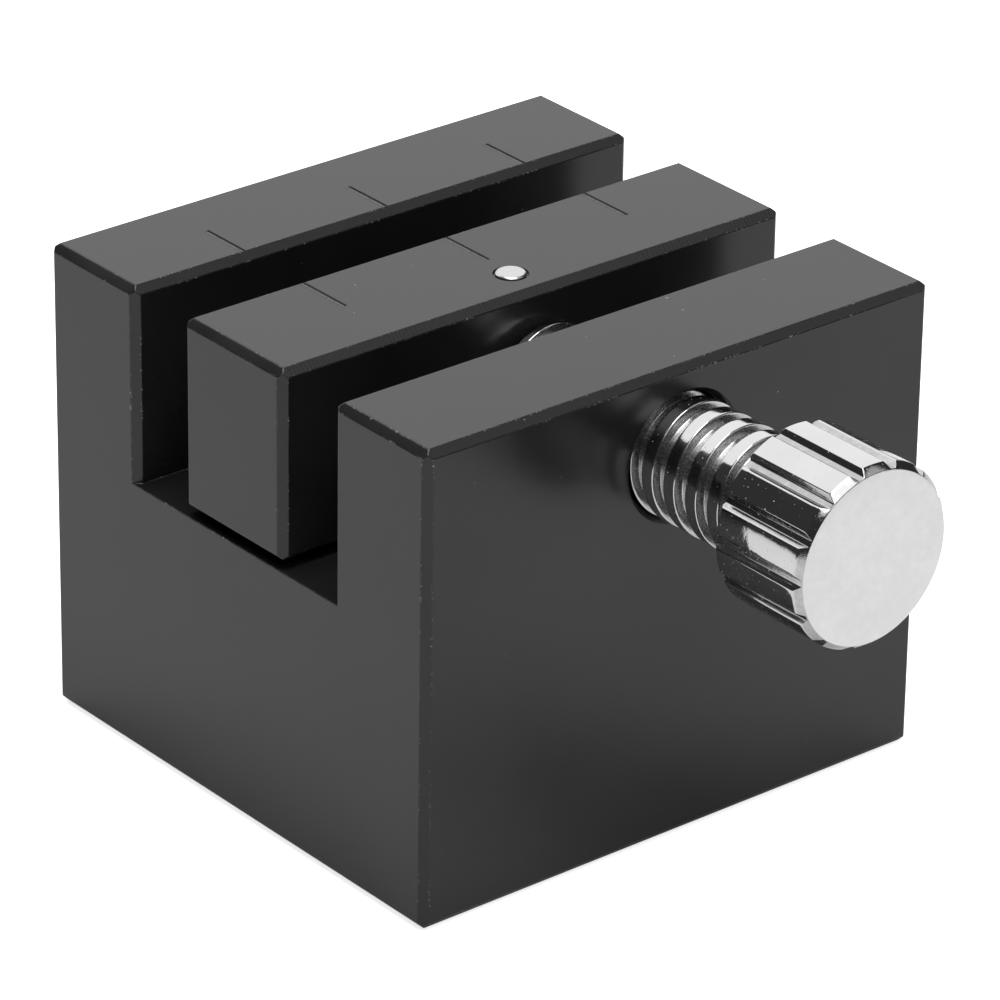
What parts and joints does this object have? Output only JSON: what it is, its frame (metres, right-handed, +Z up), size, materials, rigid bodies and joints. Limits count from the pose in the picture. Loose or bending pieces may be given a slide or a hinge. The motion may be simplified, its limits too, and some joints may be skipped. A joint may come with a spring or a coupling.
{
  "type": "watch movement holder",
  "caption": "Small slotted metal block with a sliding jaw that a fluted thumb screw drives across the slot to grip a watch movement.",
  "frame": {"origin": "centre of the block's underside, the face it stands on", "axes": "+X along the jaws, +Y from the screw's knob towards the fixed jaw, +Z up out of the slot"},
  "size_m": [0.04, 0.0552, 0.0327],
  "materials": {
    "black_anodised_block": "black anodised, semi-gloss",
    "black_anodised_jaw": "black anodised, semi-gloss",
    "bright_screw": "bright plated, polished",
    "bright_knob": "bright plated, polished",
    "bright_pin": "bright ground steel"
  },
  "bodies": {
    "body": {"jaw_block": "black_anodised_block"},
    "jaw": {"sliding_jaw": "black_anodised_jaw", "retaining_pin": "bright_pin"},
    "screw": {"clamp_screw": "bright_screw", "fluted_knob": "bright_knob"}
  },
  "joints": [
    {"name": "jaw_slide", "type": "slide", "parent": "body", "child": "jaw", "axis": [0, 1, 0], "range_m": [-0.0049, 0.0049]},
    {"name": "screw_turn", "type": "hinge", "parent": "jaw", "child": "screw", "pos_m": [0, -0.005, 0.0264], "axis": [0, 1, 0], "range_deg": [-883, 883]}
  ],
  "couplings": [
    {"joint": "screw_turn", "follows": "jaw_slide", "rad_per_m": 3141.6}
  ]
}
